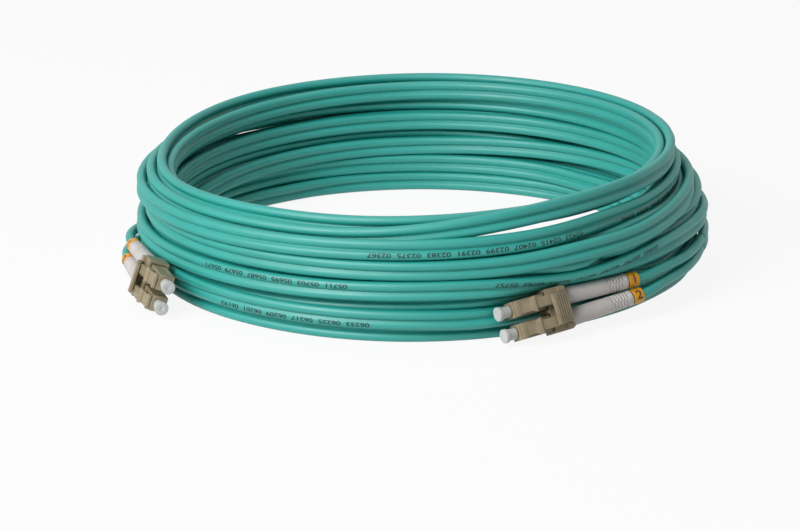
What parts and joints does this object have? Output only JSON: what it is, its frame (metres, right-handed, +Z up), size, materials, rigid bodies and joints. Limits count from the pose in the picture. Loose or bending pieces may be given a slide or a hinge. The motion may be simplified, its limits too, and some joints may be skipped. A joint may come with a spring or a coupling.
{
  "type": "fiber optic patch cord",
  "caption": "Coiled aqua duplex fibre optic patch cord with a latching two-plug connector, boots, number rings and dust caps on each end.",
  "frame": {"origin": "middle of the whole part's footprint, on the surface it lies on; the coil's axis stands 1.8 mm along +X and 0.8 mm along +Y from it", "axes": "+Z up along the coil's axis, +X to the right and +Y away from the side where the first connector lies"},
  "size_m": [0.1721, 0.17, 0.0385],
  "materials": {
    "aqua_jacket": "semi-matt extruded jacket",
    "beige_plastic": "fine moulded satin",
    "white_rubber": "soft matt moulding",
    "white_cap": "slightly translucent moulding",
    "yellow_plastic": "moulded clip ring with a dark digit",
    "zirconia": "polished",
    "steel": "machined",
    "brass": "drawn tube",
    "white_buffer": "extruded buffer"
  },
  "bodies": {
    "root": {"cord_coil": "aqua_jacket", "cord_tail_a": "aqua_jacket", "cord_tail_b": "aqua_jacket", "cord_leg_a1": "aqua_jacket", "cord_leg_a2": "aqua_jacket", "cord_leg_b1": "aqua_jacket", "cord_leg_b2": "aqua_jacket", "duplex_clip_a": "beige_plastic", "duplex_clip_b": "beige_plastic", "plug_housing_a1": "beige_plastic", "backbone_a1": "beige_plastic", "ferrule_spring_a1": "steel", "crimp_sleeve_a1": "brass", "boot_a1": "white_rubber", "number_ring_a1": "yellow_plastic", "plug_housing_a2": "beige_plastic", "backbone_a2": "beige_plastic", "ferrule_spring_a2": "steel", "crimp_sleeve_a2": "brass", "boot_a2": "white_rubber", "number_ring_a2": "yellow_plastic", "plug_housing_b1": "beige_plastic", "backbone_b1": "beige_plastic", "ferrule_spring_b1": "steel", "crimp_sleeve_b1": "brass", "boot_b1": "white_rubber", "number_ring_b1": "yellow_plastic", "plug_housing_b2": "beige_plastic", "backbone_b2": "beige_plastic", "ferrule_spring_b2": "steel", "crimp_sleeve_b2": "brass", "boot_b2": "white_rubber", "number_ring_b2": "yellow_plastic"},
    "trigger_a": {"trigger_a": "beige_plastic"},
    "trigger_b": {"trigger_b": "beige_plastic"},
    "latch_a1": {"latch_a1": "beige_plastic"},
    "latch_a2": {"latch_a2": "beige_plastic"},
    "latch_b1": {"latch_b1": "beige_plastic"},
    "latch_b2": {"latch_b2": "beige_plastic"},
    "ferrule_a1": {"ferrule_a1": "zirconia", "ferrule_flange_a1": "steel", "buffered_fibre_a1": "white_buffer"},
    "ferrule_a2": {"ferrule_a2": "zirconia", "ferrule_flange_a2": "steel", "buffered_fibre_a2": "white_buffer"},
    "ferrule_b1": {"ferrule_b1": "zirconia", "ferrule_flange_b1": "steel", "buffered_fibre_b1": "white_buffer"},
    "ferrule_b2": {"ferrule_b2": "zirconia", "ferrule_flange_b2": "steel", "buffered_fibre_b2": "white_buffer"},
    "dust_cap_a1": {"dust_cap_a1": "white_cap"},
    "dust_cap_a2": {"dust_cap_a2": "white_cap"},
    "dust_cap_b1": {"dust_cap_b1": "white_cap"},
    "dust_cap_b2": {"dust_cap_b2": "white_cap"}
  },
  "joints": [
    {"name": "trigger_a_press", "type": "hinge", "parent": "root", "child": "trigger_a", "pos_m": [0.04209, -0.07459, 0.00905], "axis": [0.2843, -0.3207, -0.9035], "range_deg": [0, 10], "stiffness_Nm_per_rad": 0.003},
    {"name": "latch_a1_flex", "type": "hinge", "parent": "root", "child": "latch_a1", "pos_m": [0.02839, -0.08069, 0.01036], "axis": [-0.2843, 0.3207, 0.9035], "range_deg": [0, 5.6], "stiffness_Nm_per_rad": 0.002},
    {"name": "latch_a2_flex", "type": "hinge", "parent": "root", "child": "latch_a2", "pos_m": [0.03017, -0.08269, 0.00472], "axis": [-0.2843, 0.3207, 0.9035], "range_deg": [0, 5.6], "stiffness_Nm_per_rad": 0.002},
    {"name": "trigger_b_press", "type": "hinge", "parent": "root", "child": "trigger_b", "pos_m": [-0.07885, -0.04315, 0.00812], "axis": [0.3125, 0.0914, 0.9455], "range_deg": [0, 10], "stiffness_Nm_per_rad": 0.003},
    {"name": "latch_b1_flex", "type": "hinge", "parent": "root", "child": "latch_b1", "pos_m": [-0.07298, -0.05674, 0.0108], "axis": [-0.3125, -0.0914, -0.9455], "range_deg": [0, 5.6], "stiffness_Nm_per_rad": 0.002},
    {"name": "latch_b2_flex", "type": "hinge", "parent": "root", "child": "latch_b2", "pos_m": [-0.07493, -0.05731, 0.00489], "axis": [-0.3125, -0.0914, -0.9455], "range_deg": [0, 5.6], "stiffness_Nm_per_rad": 0.002},
    {"name": "ferrule_a1_float", "type": "slide", "parent": "root", "child": "ferrule_a1", "axis": [0.8454, 0.5283, 0.0785], "range_m": [0, 0.001], "stiffness_N_per_m": 10, "deforming": ["ferrule_spring_a1"]},
    {"name": "ferrule_a2_float", "type": "slide", "parent": "root", "child": "ferrule_a2", "axis": [0.8454, 0.5283, 0.0785], "range_m": [0, 0.001], "stiffness_N_per_m": 10, "deforming": ["ferrule_spring_a2"]},
    {"name": "ferrule_b1_float", "type": "slide", "parent": "root", "child": "ferrule_b1", "axis": [-0.2807, 0.9598, 0], "range_m": [0, 0.001], "stiffness_N_per_m": 10, "deforming": ["ferrule_spring_b1"]},
    {"name": "ferrule_b2_float", "type": "slide", "parent": "root", "child": "ferrule_b2", "axis": [-0.2807, 0.9598, 0], "range_m": [0, 0.001], "stiffness_N_per_m": 10, "deforming": ["ferrule_spring_b2"]},
    {"name": "dust_cap_a1_pull", "type": "slide", "parent": "root", "child": "dust_cap_a1", "axis": [-0.8454, -0.5283, -0.0785], "range_m": [0, 0.01]},
    {"name": "dust_cap_a2_pull", "type": "slide", "parent": "root", "child": "dust_cap_a2", "axis": [-0.8454, -0.5283, -0.0785], "range_m": [0, 0.01]},
    {"name": "dust_cap_b1_pull", "type": "slide", "parent": "root", "child": "dust_cap_b1", "axis": [0.2807, -0.9598, 0], "range_m": [0, 0.01]},
    {"name": "dust_cap_b2_pull", "type": "slide", "parent": "root", "child": "dust_cap_b2", "axis": [0.2807, -0.9598, 0], "range_m": [0, 0.01]}
  ],
  "couplings": [
    {"joint": "latch_a1_flex", "follows": "trigger_a_press", "ratio": 0.56},
    {"joint": "latch_a2_flex", "follows": "trigger_a_press", "ratio": 0.56},
    {"joint": "latch_b1_flex", "follows": "trigger_b_press", "ratio": 0.56},
    {"joint": "latch_b2_flex", "follows": "trigger_b_press", "ratio": 0.56}
  ]
}
